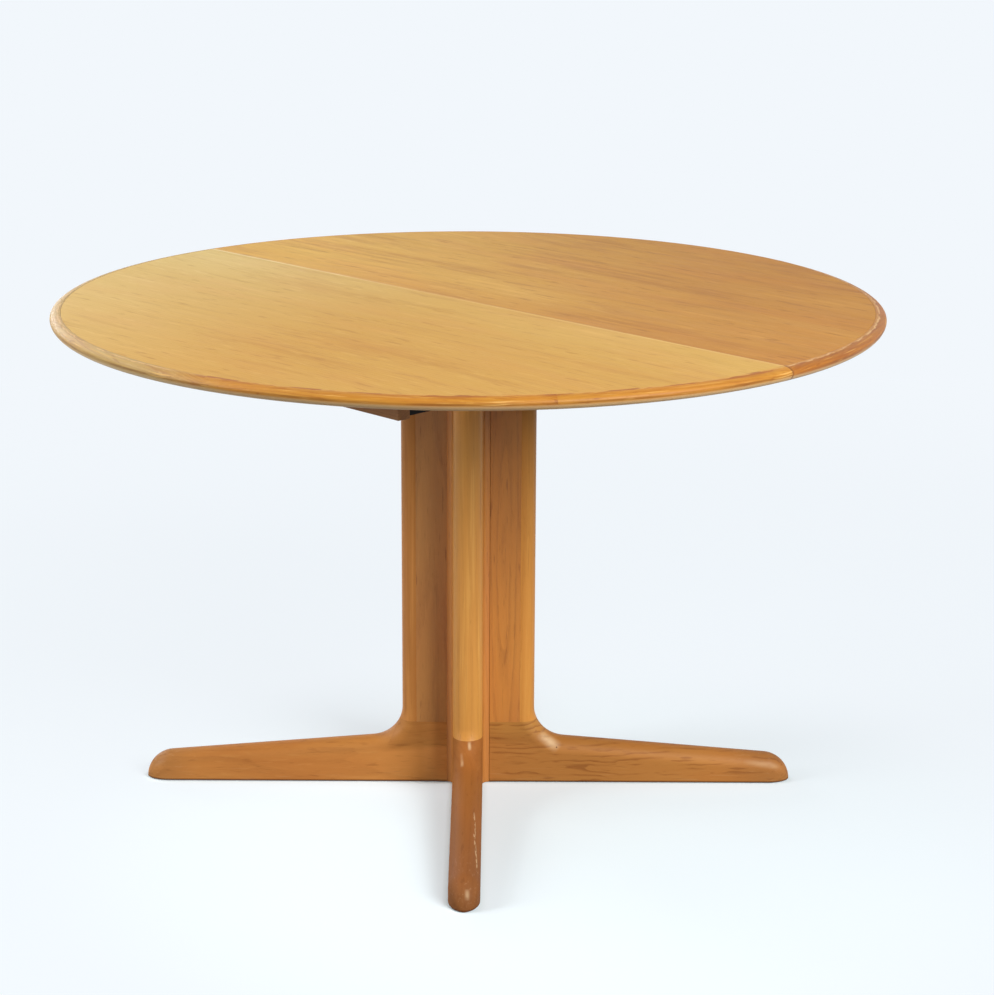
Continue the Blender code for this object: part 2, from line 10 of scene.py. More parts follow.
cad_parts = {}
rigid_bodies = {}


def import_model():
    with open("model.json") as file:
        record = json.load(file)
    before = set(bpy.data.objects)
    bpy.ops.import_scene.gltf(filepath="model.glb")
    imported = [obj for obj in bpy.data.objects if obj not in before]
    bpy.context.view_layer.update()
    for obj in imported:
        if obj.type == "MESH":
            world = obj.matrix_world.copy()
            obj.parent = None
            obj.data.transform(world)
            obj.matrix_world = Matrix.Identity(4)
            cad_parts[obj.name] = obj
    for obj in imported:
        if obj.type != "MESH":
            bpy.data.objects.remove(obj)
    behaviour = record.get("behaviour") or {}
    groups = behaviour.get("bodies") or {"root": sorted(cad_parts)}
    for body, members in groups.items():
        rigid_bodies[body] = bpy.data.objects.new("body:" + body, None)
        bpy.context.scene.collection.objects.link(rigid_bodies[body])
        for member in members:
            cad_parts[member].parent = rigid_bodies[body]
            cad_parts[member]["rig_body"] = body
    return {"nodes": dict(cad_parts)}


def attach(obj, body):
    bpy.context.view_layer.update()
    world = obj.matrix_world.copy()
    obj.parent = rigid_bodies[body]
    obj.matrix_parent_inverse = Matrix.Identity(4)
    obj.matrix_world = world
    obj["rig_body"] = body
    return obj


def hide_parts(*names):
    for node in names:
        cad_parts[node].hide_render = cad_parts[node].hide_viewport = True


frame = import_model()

for startItem in ("Cube", "Light", "Camera"):  # what a new Blender file holds
    if startItem in bpy.data.objects:
        bpy.data.objects.remove(bpy.data.objects[startItem], do_unlink=True)
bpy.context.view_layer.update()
scene = bpy.context.scene
scene.view_settings.view_transform = "Standard"
print("frame loaded:", len(frame["nodes"]), "solids")

# the axes, and the four ways as the photo shows them
alongX, alongY, upright = (1.0, 0.0, 0.0), (0.0, 1.0, 0.0), (0.0, 0.0, 1.0)
leftward, rightward = (-0.7071, 0.7071, 0.0), (0.7071, -0.7071, 0.0)
frontward, backward = (-0.7071, -0.7071, 0.0), (0.7071, 0.7071, 0.0)


# camera

viewpoint = {
    "place": (-2.5267, -2.5877, 1.4555),
    "aim": (0.6802, 0.6809, -0.2713),
    "roll": 0.2613,  # degrees
    "lens": 93.358,
    "sensor": 36.0,
}


def addCamera(view):
    aim = Vector(view["aim"]).normalized()
    level = aim.cross(Vector(upright)).normalized()
    over = level.cross(aim)
    turn = math.radians(view["roll"])
    side = level * math.cos(turn) + over * math.sin(turn)
    up = over * math.cos(turn) - level * math.sin(turn)
    lensData = bpy.data.cameras.new("photoView")
    lensData.lens = view["lens"]
    lensData.sensor_width = view["sensor"]
    holder = bpy.data.objects.new("photoView", lensData)
    scene.collection.objects.link(holder)
    facing = Matrix((side, up, -aim)).transposed().to_4x4()
    holder.matrix_world = Matrix.Translation(view["place"]) @ facing
    scene.camera = holder


addCamera(viewpoint)
print("camera set")


# shader bench

def tint(red, green, blue):
    # a colour as it shows on screen, 0 to 255, for a shader
    shown = [value / 255 for value in (red, green, blue)]
    return [v / 12.92 if v <= 0.04045 else ((v + 0.055) / 1.055) ** 2.4 for v in shown] + [1.0]


class Wire:
    # a socket that takes part in sums
    def __init__(self, finish, socket):
        self.finish = finish
        self.socket = socket

    def calc(self, operation, *others):
        sockets = dict(enumerate((self,) + others))
        return self.finish.node("ShaderNodeMath", {"operation": operation}, sockets)

    def back(self, operation, first):
        return self.finish.node("ShaderNodeMath", {"operation": operation}, {0: first, 1: self})

    def __add__(self, other):
        return self.calc("ADD", other)

    def __radd__(self, other):
        return self.back("ADD", other)

    def __sub__(self, other):
        return self.calc("SUBTRACT", other)

    def __rsub__(self, other):
        return self.back("SUBTRACT", other)

    def __mul__(self, other):
        return self.calc("MULTIPLY", other)

    def __rmul__(self, other):
        return self.back("MULTIPLY", other)

    def __truediv__(self, other):
        return self.calc("DIVIDE", other)

    def __rtruediv__(self, other):
        return self.back("DIVIDE", other)

    def __pow__(self, other):
        return self.calc("POWER", other)

    def __rpow__(self, other):
        return self.back("POWER", other)

    def __abs__(self):
        return self.calc("ABSOLUTE")


class Finish:
    # a material or a world under way
    def __init__(self, holder):
        holder.use_nodes = True
        self.holder = holder
        self.tree = holder.node_tree
        self.tree.nodes.clear()

    def node(self, kind, settings=None, sockets=None, out=0):
        made = self.tree.nodes.new(kind)
        for key, value in (settings or {}).items():
            setattr(made, key, value)
        for key, value in (sockets or {}).items():
            usable = [socket for socket in made.inputs if socket.enabled]
            socket = usable[key] if isinstance(key, int) else [s for s in usable if s.name == key][0]
            if isinstance(value, Wire):
                self.tree.links.new(value.socket, socket)
            else:
                socket.default_value = value
        shown = [socket for socket in made.outputs if socket.enabled]
        if not shown:
            return None
        picked = shown[out] if isinstance(out, int) else [s for s in shown if s.name == out][0]
        return Wire(self, picked)

    def place(self):
        return self.node("ShaderNodeTexCoord", out="Object")

    def lean(self, vector, axis):
        # how far a point lies along an axis
        return self.node("ShaderNodeVectorMath", {"operation": "DOT_PRODUCT"}, {0: vector, 1: axis}, "Value")

    def axes(self, vector):
        return [self.lean(vector, axis) for axis in (alongX, alongY, upright)]

    def cloud(self, u, v, w, detail=2.0, rough=0.5):
        spot = self.node("ShaderNodeCombineXYZ", None, {0: u, 1: v, 2: w})
        return self.node("ShaderNodeTexNoise", None,
                         {"Vector": spot, "Scale": 1.0, "Detail": detail, "Roughness": rough})

    def between(self, value, low, high):
        # 0 at low and beyond it, 1 at high and beyond it, smooth between
        return self.node("ShaderNodeMapRange", {"interpolation_type": "SMOOTHSTEP"},
                         {"Value": value, "From Min": low, "From Max": high})

    def blend(self, share, first, second, way="MIX"):
        return self.node("ShaderNodeMix", {"data_type": "RGBA", "blend_type": way},
                         {"Factor": share, "A": first, "B": second})

    def bump(self, height, strength, distance):
        return self.node("ShaderNodeBump", None,
                         {"Strength": strength, "Distance": distance, "Height": height})

    def apart(self, vector, point):
        return self.node("ShaderNodeVectorMath", {"operation": "DISTANCE"}, {0: vector, 1: point}, "Value")

    def fromStroke(self, vector, start, end):
        # distance from a straight stroke between two points, and the share of it that is passed
        span = end - start
        offset = self.node("ShaderNodeVectorMath", {"operation": "SUBTRACT"}, {0: vector, 1: start})
        share = self.lean(offset, span / span.length_squared).calc("MAXIMUM", 0.0).calc("MINIMUM", 1.0)
        nearest = self.node("ShaderNodeVectorMath", {"operation": "SCALE"}, {0: span, "Scale": share})
        return self.apart(offset, nearest), share

    def close(self, **sockets):
        # the shader that the surface ends in
        names = {key.replace("_", " "): value for key, value in sockets.items()}
        shader = self.node("ShaderNodeBsdfPrincipled", None, names)
        self.node("ShaderNodeOutputMaterial", None, {"Surface": shader})
        return self.holder


# oak

grain = {  # offset along the grain, detail and roughness of each pattern, then its scales along and across
    "wander": (0.0, 2.0, 0.5, 2.1, 8.0), "drift": (7.0, 1.0, 0.5, 0.8, 2.5),
    "ripple": (0.0, 2.0, 0.5, 16.0, 55.0), "breaks": (3.0, 2.0, 0.5, 13.0, 70.0),
    "fibre": (0.0, 3.0, 0.6, 24.0, 700.0), "pore": (0.0, 1.0, 0.5, 75.0, 1500.0),
    "blotch": (19.0, 2.0, 0.5, 2.6, 5.5), "blush": (31.0, 2.0, 0.5, 4.0, 13.0),
    "streak": (11.0, 3.0, 0.6), "band": (27.0, 2.0, 0.5), "dash": (5.0, 2.0, 0.5),  # scaled in each look
    "ringStart": (-0.02, 0.06), "ringEnd": (0.0, 0.55),  # where in a ring early wood begins and fades
    "poreEdge": (0.60, 0.74), "blushEdge": (0.42, 0.66),
    "dashEdge": (0.60, 0.74), "paleEdge": (0.42, 0.28),
    "toneSpan": 0.5, "fibreLift": 0.3, "latePores": 0.25,
    "streakRough": 0.16, "poreRough": 0.12,
    "fibreRise": 0.35, "poreSink": 0.8, "ringSink": 0.4, "depth": 0.0004,
    "leafSeed": (12.9898, 4.1), "leafStep": 0.37,  # tone and start of each leaf of veneer
}


def oak(name, look, along, across, through, shift):
    finish = Finish(bpy.data.materials.new(name))
    spot = finish.place()
    run, cross, depth = [finish.lean(spot, axis) for axis in (along, across, through)]
    u, v, w = run + shift[0], cross + shift[1], depth + shift[2]
    leafTone = 0.0
    if "leaf" in look:  # the leaves lie side by side, each the mirror of the last
        leafNumber = (v / look["leaf"]).calc("FLOOR")
        stride, start = grain["leafSeed"]
        leafTone = (leafNumber * stride + start).calc("SINE") * look["leafTone"]
        v = v.calc("PINGPONG", look["leaf"])
        u = u + leafNumber * grain["leafStep"]
        cross = v

    def pattern(kind, sideways):
        offset, detail, rough, *scales = grain[kind]
        long, wide = scales or look[kind + "Scale"]
        return finish.cloud(u * long + offset, sideways * wide, w * wide, detail, rough)

    drift = pattern("drift", v) - 0.5
    bend = (pattern("wander", v) - 0.5) * look["wander"] + drift * look["drift"]
    bent = v + bend

    # growth rings round a heart that leans through the board
    heartCross, heartDepth, heartLean, heartDrift = look["heart"]
    rise = depth + heartDepth + run * heartLean + drift * heartDrift
    aside = cross + bend - heartCross
    ripple = (pattern("ripple", v) - 0.5) * look["ripple"]
    phase = ((aside * aside + rise * rise) ** 0.5 / look["ring"] + ripple).calc("FRACT")
    early = (1 - finish.between(phase, *grain["ringEnd"])) * finish.between(phase, *grain["ringStart"])
    broken = finish.between(pattern("breaks", v), *look["breaks"])
    figure = early * (1 - look["broken"] + look["broken"] * broken) * look["figure"]

    streak, band, dash = [pattern(kind, bent) for kind in ("streak", "band", "dash")]
    fibre, pore, blotch, blush = [pattern(kind, v) for kind in ("fibre", "pore", "blotch", "blush")]
    pore = finish.between(pore, *grain["poreEdge"])
    blush = finish.between(blush, *grain["blushEdge"])
    tone = (streak - 0.5) * look["streak"] + (band - 0.5) * look["band"]
    tone = tone + (blotch - 0.5) * look["blotch"] + leafTone
    colour = finish.blend(finish.between(tone, 0.0, grain["toneSpan"]), look["body"], look["pale"])
    colour = finish.blend(finish.between(tone, 0.0, -grain["toneSpan"]), colour, look["deep"])
    colour = finish.blend(blush * look["blushShare"], colour, look["blush"])
    colour = finish.blend(figure, colour, look["tick"])
    colour = finish.blend(finish.between(dash, *grain["dashEdge"]) * look["dash"], colour, look["tick"])
    colour = finish.blend(finish.between(dash, *grain["paleEdge"]) * look["paleDash"], colour, look["pale"])
    colour = finish.blend((fibre - 0.5 + grain["fibreLift"]) * look["fibre"], colour, look["deep"])
    inRing = grain["latePores"] + (1 - grain["latePores"]) * early
    colour = finish.blend(pore * inRing * look["pore"], colour, look["tick"])
    for toward, start, end, gain in look["fades"]:  # paler or darker towards one side, mostly painted light, shade and reflection
        colour = finish.blend(finish.between(finish.lean(spot, toward), start, end), colour, gain, "MULTIPLY")

    rough = look["rough"] + (streak - 0.5) * grain["streakRough"] + pore * grain["poreRough"]
    if "marks" in look:
        colour, marked = look["marks"](finish, spot, run, colour)
        rough = rough + marked * look["rubRough"]
    height = fibre * grain["fibreRise"] - pore * grain["poreSink"] - figure * grain["ringSink"]
    return finish.close(
        Base_Color=colour,
        Roughness=rough,
        Normal=finish.bump(height, look["relief"], grain["depth"]),
        Specular_IOR_Level=look["gloss"],
        Coat_Weight=look["coat"],
        Coat_Roughness=look["coatRough"],
    )


plainOak = {
    "body": tint(186, 122, 62), "pale": tint(206, 146, 82), "deep": tint(150, 88, 40),
    "tick": tint(110, 58, 24), "blush": tint(190, 116, 66), "blushShare": 0.25,
    "ring": 0.0042, "heart": (0.02, 0.05, 0.05, 0.03), "wander": 0.012, "drift": 0.03,
    "figure": 0.25, "broken": 0.65, "breaks": (0.40, 0.58), "ripple": 0.5,
    "dash": 0.4, "paleDash": 0.15, "dashScale": (22.0, 230.0), "streak": 0.9, "streakScale": (5.0, 95.0),
    "band": 0.0, "bandScale": (1.6, 48.0), "blotch": 0.6, "fibre": 0.22, "pore": 0.5, "fades": [],
    "rough": 0.42, "rubRough": 0.15, "relief": 0.25, "gloss": 0.4, "coat": 0.1, "coatRough": 0.28,
}


def variant(base=plainOak, **changes):
    return {**base, **changes}


# making pieces

joinery = {
    "sawSlack": 1e-7, "weld": 2e-5, "bevelSteps": 2,
    "flatAngle": 0.5, "sharpAngle": 50.0, "smoothAngle": 40.0,  # degrees
}


def bodyOf(node):
    return frame["nodes"][node]["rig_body"]


def loft(rings):
    # a closed body through rings of points, with a single point as a pole
    shape = bmesh.new()
    rows = [[shape.verts.new(point) for point in ring] for ring in rings]
    for row, following in zip(rows, rows[1:]):
        for index in range(len(row)):
            after = (index + 1) % len(row)
            if len(following) == 1:
                shape.faces.new((row[index], row[after], following[0]))
            else:
                shape.faces.new((row[index], row[after], following[after], following[index]))
    for row in (rows[0], rows[-1]):
        if len(row) > 2:
            shape.faces.new(row)
    bmesh.ops.recalc_face_normals(shape, faces=shape.faces)
    return shape


def sawn(shape, point, normal):
    # keeps what lies against the normal
    geometry = shape.verts[:] + shape.edges[:] + shape.faces[:]
    cut = bmesh.ops.bisect_plane(shape, geom=geometry, dist=joinery["sawSlack"], plane_co=point,
                                 plane_no=normal, clear_outer=True)
    rim = [item for item in cut["geom_cut"] if isinstance(item, bmesh.types.BMEdge)]
    bmesh.ops.edgeloop_fill(shape, edges=rim)
    bmesh.ops.recalc_face_normals(shape, faces=shape.faces)
    return shape


def eased(shape, width, steps=joinery["bevelSteps"], angle=joinery["sharpAngle"], limit=None):
    # takes the sharpness off the arrises, short of a limit along X
    sharp = [edge for edge in shape.edges if edge.is_manifold
             and edge.calc_face_angle(0.0) > math.radians(angle)
             and (limit is None or max(vert.co.x for vert in edge.verts) < limit)]
    bmesh.ops.bevel(shape, geom=sharp, offset=width, offset_type="OFFSET", segments=steps, profile=0.5,
                    affect="EDGES", clamp_overlap=True)
    return shape


def fromSolid(node):
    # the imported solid, joined up into whole faces
    shape = bmesh.new()
    shape.from_mesh(frame["nodes"][node].data)
    bmesh.ops.remove_doubles(shape, verts=shape.verts, dist=joinery["weld"])
    bmesh.ops.dissolve_limit(shape, angle_limit=math.radians(joinery["flatAngle"]), verts=shape.verts,
                             edges=shape.edges)
    bmesh.ops.recalc_face_normals(shape, faces=shape.faces)
    return shape


def addPiece(name, shape, material, node):
    mesh = bpy.data.meshes.new(name)
    shape.to_mesh(mesh)
    shape.free()
    mesh.shade_smooth()
    mesh.set_sharp_from_angle(angle=math.radians(joinery["smoothAngle"]))
    mesh.materials.append(material)
    piece = bpy.data.objects.new(name, mesh)
    scene.collection.objects.link(piece)
    faceWeights = piece.modifiers.new("faceWeights", "WEIGHTED_NORMAL")
    faceWeights.keep_sharp = True
    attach(piece, bodyOf(node))
    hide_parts(node)


# table top

fieldOak = variant(
    ring=0.0065, drift=0.05, dashScale=(20.0, 125.0), streakScale=(9.0, 95.0), fibre=0.16, pore=0.3,
    rough=0.5, gloss=0.1, coat=0.0, relief=0.16)
topPanel = {
    "arris": 0.00025, "shift": {"near": (3.1, 0.61, 0.2), "far": (8.4, 0.02, 1.3)},
    "near": variant(
        fieldOak, body=tint(204, 156, 74), pale=tint(219, 175, 96), deep=tint(187, 133, 55),
        tick=tint(165, 106, 42), blush=tint(208, 150, 78), blushShare=0.25, leaf=0.27, leafTone=0.06,
        heart=(0.13, -0.715, 0.03, 0.05), wander=0.02, figure=0.14, dash=0.38, paleDash=0.3, streak=0.75,
        band=0.7, bandScale=(2.6, 38.0), blotch=0.7,
        # painted reflection: paler towards the left end; the second is paler near the seam
        fades=[((-0.2, 0.98, 0.0), -0.05, 0.60, (1.135, 1.39, 2.2, 1.0)),
               (alongX, -0.22, -0.02, (1.07, 1.16, 1.34, 1.0))]),
    "far": variant(
        fieldOak, body=tint(190, 133, 55), pale=tint(205, 151, 74), deep=tint(169, 109, 41),
        tick=tint(145, 86, 31), blush=tint(196, 130, 60), blushShare=0.3, leaf=0.25, leafTone=0.08,
        heart=(0.12, -0.712, 0.03, 0.05), wander=0.022, figure=0.16, dash=0.46, paleDash=0.32, streak=0.9,
        band=0.9, bandScale=(2.4, 38.0), blotch=1.0,
        # painted reflection: paler towards the left end; the second is darker near the seam
        fades=[(leftward, -0.5, 0.45, (1.47, 1.98, 2.85, 1.0)),
               ((-1.0, 0.0, 0.0), -0.11, -0.01, (0.95, 0.89, 0.84, 1.0))]),
}
edgingOak = variant(
    blushShare=0.1, figure=0.1, dashScale=(12.0, 20.0), pore=0.3, rough=0.5, gloss=0.1, coat=0.0)
seamEdging = {
    "seamShift": 0.0002, "glueShift": 0.00028,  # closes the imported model's gaps to hairlines
    "shift": (1.7, 0.0, 0.4),
    # near: paler than its panel, its own tone with a painted highlight along the seam; both halves carry the
    # panels' painted reflection
    "near": variant(
        edgingOak, body=tint(211, 165, 89), pale=tint(228, 188, 117), deep=tint(191, 140, 66),
        tick=tint(162, 106, 45), dash=0.2, paleDash=0.4, fades=topPanel["near"]["fades"]),
    "far": variant(
        edgingOak, body=tint(190, 132, 60), pale=tint(204, 150, 78), deep=tint(160, 102, 44),
        tick=tint(130, 76, 32), dash=0.3, paleDash=0.1, fades=topPanel["far"]["fades"]),
}


def edgingStrip(node):
    shape = fromSolid(node)
    depths = [abs(vert.co.x) for vert in shape.verts]
    middle = (min(depths) + max(depths)) / 2
    for vert in shape.verts:
        away = 1.0 if vert.co.x > 0 else -1.0
        atSeam = abs(vert.co.x) < middle
        vert.co.x += away * (-seamEdging["seamShift"] if atSeam else seamEdging["glueShift"])
    return shape


def buildTop():
    across = {"near": (-1.0, 0.0, 0.0), "far": alongX}  # away from the seam
    for half in ("near", "far"):
        node = half + "_top_panel"
        finish = oak(half + "VeneerField", topPanel[half], alongY, across[half], upright,
                     topPanel["shift"][half])
        addPiece(node + "_oak", eased(fromSolid(node), topPanel["arris"]), finish, node)
        node = half + "_seam_edging"
        finish = oak(half + "SeamEdging", seamEdging[half], alongY, upright, across[half],
                     seamEdging["shift"])
        addPiece(node + "_oak", edgingStrip(node), finish, node)


buildTop()
print("top panels and seam edging done")


# lipping

rimOak = variant(
    ring=0.0034, heart=(0.58, -0.68, 0.02, 0.02), wander=0.008, drift=0.012, figure=0.35, dash=0.5,
    paleDash=0.4, streak=1.1, blotch=0.8, fibre=0.2, pore=0.45, rough=0.46, gloss=0.25, coat=0.0, relief=0.2)
lipping = {
    "field": 0.575, "rim": 0.590, "top": 0.727, "under": 0.708, "roll": 0.0085, "undercut": 0.013,
    "cadStep": 3.75, "fineSteps": 5, "rollSteps": 14, "underSteps": 12,
    "jointGap": 0.00003, "seamGap": 0.0001, "arris": 0.0001, "endArris": 0.00006, "endAngle": 70.0,
    "shift": (0.0, -0.583, -0.7), "shiftStep": (2.3, 0.0, 0.31),  # of the patterns, from board to board
    # degrees round the top at which each half's boards meet
    "joints": {"near": (90.0, 146.25, 191.25, 236.25, 270.0), "far": (-90.0, -52.5, -7.5, 37.5, 90.0)},
    "near": variant(
        rimOak, body=tint(183, 125, 43), pale=tint(204, 149, 63), deep=tint(164, 98, 28),
        tick=tint(134, 70, 18), blush=tint(192, 116, 44),
        # painted reflection: paler towards the left
        fades=[(leftward, 0.28, 0.43, (0.95, 1.38, 3.3, 1.0))]),
    "far": variant(
        rimOak, body=tint(164, 102, 33), pale=tint(186, 126, 52), deep=tint(146, 82, 26),
        tick=tint(116, 60, 18), blush=tint(178, 100, 40),
        # painted reflection: paler towards the left
        fades=[(leftward, -0.40, 0.45, (1.25, 1.60, 2.2, 1.0))]),
    "paintedSheenSpan": (0.29, 0.42),  # leftward places between which the rim turns pale, a painted reflection
    "veneer": {"near": tint(204, 154, 72), "far": tint(187, 129, 53)},  # where the field runs over the edge
    "flame": tint(150, 82, 22), "flameShare": {"near": 0.85, "far": 0.3},
    "crack": tint(222, 180, 124), "crackShare": {"near": 0.0, "far": 0.7},
    # dark: painted shade along the widest place and the seam's dark joint; bare and bounce: painted floor
    # light on bare wood under the edge; pale: wear and painted highlights
    "edgeLine": tint(116, 68, 26), "bareAndBounce": tint(222, 190, 142), "wearAndGlint": tint(234, 186, 108),
}
rimWear = {  # scales and edges of noise, spans past the field, the rim or the widest place, and strengths
    "ragged": 36.0, "raggedReach": 0.018, "raggedBack": 0.006,
    "raggedSpan": (0.0015, -0.0005), "raggedShare": 0.8,
    "flame": (24.0, 150.0, 50.0), "flameEdge": (0.50, 0.60), "flameSpan": (0.012, 0.004),
    "stray": 60.0, "strayReach": 0.008, "crackWidth": (0.0022, 0.0003), "crack": (30.0, 220.0),
    "crackEdge": (0.34, 0.54), "paleCrack": 0.6,
    "bareAndBounceSpan": (-0.001, -0.005), "bareAndBounceShare": 0.6,
    "shadeAndSpeck": (12.0, 60.0), "shadeAndSpeckEdge": (0.30, 0.62), "lineDrop": 0.0005, "lineWidth": (0.0024, 0.0006),
    "lineShare": 0.55, "seamWidth": (0.0024, 0.0008), "seamShare": 0.7,
    "rub": (14.0, 420.0), "wearAndGlintEdge": (0.58, 0.70), "wearAndGlintSpan": (-0.008, -0.002), "wearAndGlintShare": 0.5,
}


def rimMarks(half, wear):
    def marks(finish, spot, run, colour):
        flat = finish.node("ShaderNodeVectorMath", {"operation": "MULTIPLY"}, {0: spot, 1: (1.0, 1.0, 0.0)})
        reach = finish.node("ShaderNodeVectorMath", {"operation": "LENGTH"}, {0: flat}, "Value")
        height = finish.lean(spot, upright)
        past = reach - lipping["field"]
        level = height - (lipping["top"] - lipping["roll"])
        # towards the left the rim is painted pale as a reflection: the veneer edge and flames fade out and
        # the joint shows pale
        pale = finish.between(finish.lean(spot, leftward), *lipping["paintedSheenSpan"])

        # veneer that runs on in a ragged edge, and flames of deeper grain beside it
        ragged = finish.cloud(run * wear["ragged"], 2.0, 0.0, detail=3.0)
        ragged = ragged * wear["raggedReach"] - wear["raggedBack"]
        inner = finish.between(past - ragged, *wear["raggedSpan"]) * (1 - pale)
        colour = finish.blend(inner * wear["raggedShare"], colour, lipping["veneer"][half])
        runScale, reachScale, heightScale = wear["flame"]
        flame = finish.cloud(run * runScale, reach * reachScale, height * heightScale)
        flame = finish.between(flame, *wear["flameEdge"]) * finish.between(past, *wear["flameSpan"])
        colour = finish.blend(flame * (1 - pale) * lipping["flameShare"][half], colour, lipping["flame"])

        # their joint, open in places
        runScale, reachScale = wear["crack"]
        crack = finish.between(finish.cloud(run * runScale, reach * reachScale, 0.0), *wear["crackEdge"])
        stray = finish.cloud(run * wear["stray"], 5.0, 0.0, detail=3.0) * wear["strayReach"]
        crack = crack * finish.between(abs(past - stray), *wear["crackWidth"])
        share = (pale * wear["paleCrack"]).calc("MAXIMUM", lipping["crackShare"][half])
        colour = finish.blend(crack * share, colour, lipping["crack"])

        # painted light from the floor on the bare wood under the edge, painted shade along its widest place,
        # a dark joint line at the seam, and pale streaks of wear and painted highlight
        under = finish.between(level, *wear["bareAndBounceSpan"])
        colour = finish.blend(under * wear["bareAndBounceShare"], colour, lipping["bareAndBounce"])
        # painted shade along the widest place, broken up by noise
        runScale, sideScale = wear["shadeAndSpeck"]
        shadeAndSpeck = finish.cloud(run * runScale, reach * sideScale, height * sideScale)
        line = finish.between(abs(level + wear["lineDrop"]), *wear["lineWidth"])
        line = line * finish.between(shadeAndSpeck, *wear["shadeAndSpeckEdge"]) * wear["lineShare"]
        atSeam = finish.between(abs(finish.lean(spot, alongX)), *wear["seamWidth"]) * wear["seamShare"]
        colour = finish.blend(line.calc("MAXIMUM", atSeam), colour, lipping["edgeLine"])
        # pale streaks near the rim: wear and painted highlights
        runScale, sideScale = wear["rub"]
        marked = finish.cloud(run * runScale, reach * sideScale, height * sideScale)
        marked = finish.between(marked, *wear["wearAndGlintEdge"]) * (1 - under)
        marked = marked * finish.between(reach - lipping["rim"], *wear["wearAndGlintSpan"])
        return finish.blend(marked * wear["wearAndGlintShare"], colour, lipping["wearAndGlint"]), marked
    return marks


def lippingProfile():
    # share of the width outwards, and height
    size = lipping
    ease = size["arris"]
    width = size["rim"] - size["field"]
    points = [(0.0, size["under"]), (0.0, size["top"] - ease), (ease / width, size["top"])]
    for step in range(1, size["rollSteps"] + 1):
        angle = math.pi / 2 * (1 - step / size["rollSteps"])
        drop = size["roll"] * (1 - math.sin(angle))
        points.append((ease / width + (1 - ease / width) * math.cos(angle), size["top"] - drop))
    belly = size["top"] - size["roll"]
    for step in range(1, size["underSteps"] + 1):
        angle = math.pi / 2 * step / size["underSteps"]
        back = size["undercut"] * (1 - math.cos(angle))
        points.append((1 - back / width, belly - (belly - size["under"]) * math.sin(angle)))
    return points


def lippingBoard(start, end, gaps):
    size = lipping
    half = math.radians(size["cadStep"] / 2)
    count = round((end - start) / size["cadStep"]) * size["fineSteps"]
    angles = [math.radians(start + (end - start) * step / count) for step in range(count + 1)]
    angles[0] += gaps[0] / size["field"]
    angles[-1] -= gaps[1] / size["field"]
    profile = lippingProfile()
    rings = []
    for angle in angles:
        offCorner = (angle - math.radians(start)) % (2 * half) - half
        inner = size["field"] * math.cos(half) / math.cos(offCorner)  # follows the panel's flats
        ring = []
        for share, height in profile:
            reach = inner + (size["rim"] - inner) * share
            ring.append((reach * math.cos(angle), reach * math.sin(angle), height))
        rings.append(ring)
    return eased(loft(rings), size["endArris"], steps=1, angle=size["endAngle"])


def buildLipping():
    for half, joints in lipping["joints"].items():
        for number in range(1, len(joints)):
            node = f"{half}_lipping_{number}"
            ends = (joints[number - 1], joints[number])
            atSeam = [end in (joints[0], joints[-1]) for end in ends]
            gaps = [lipping["seamGap"] if last else lipping["jointGap"] for last in atSeam]
            middle = math.radians(sum(ends) / 2)
            outward = (math.cos(middle), math.sin(middle), 0.0)
            along = (-math.sin(middle), math.cos(middle), 0.0)  # each board's grain is straight
            look = {**lipping[half], "marks": rimMarks(half, rimWear)}
            shift = [first + step * number for first, step in zip(lipping["shift"], lipping["shiftStep"])]
            finish = oak(f"{half}Lipping{number}", look, along, outward, upright, shift)
            addPiece(node + "_oak", lippingBoard(*ends, gaps), finish, node)


buildLipping()
print("lipping boards done")


# pedestal

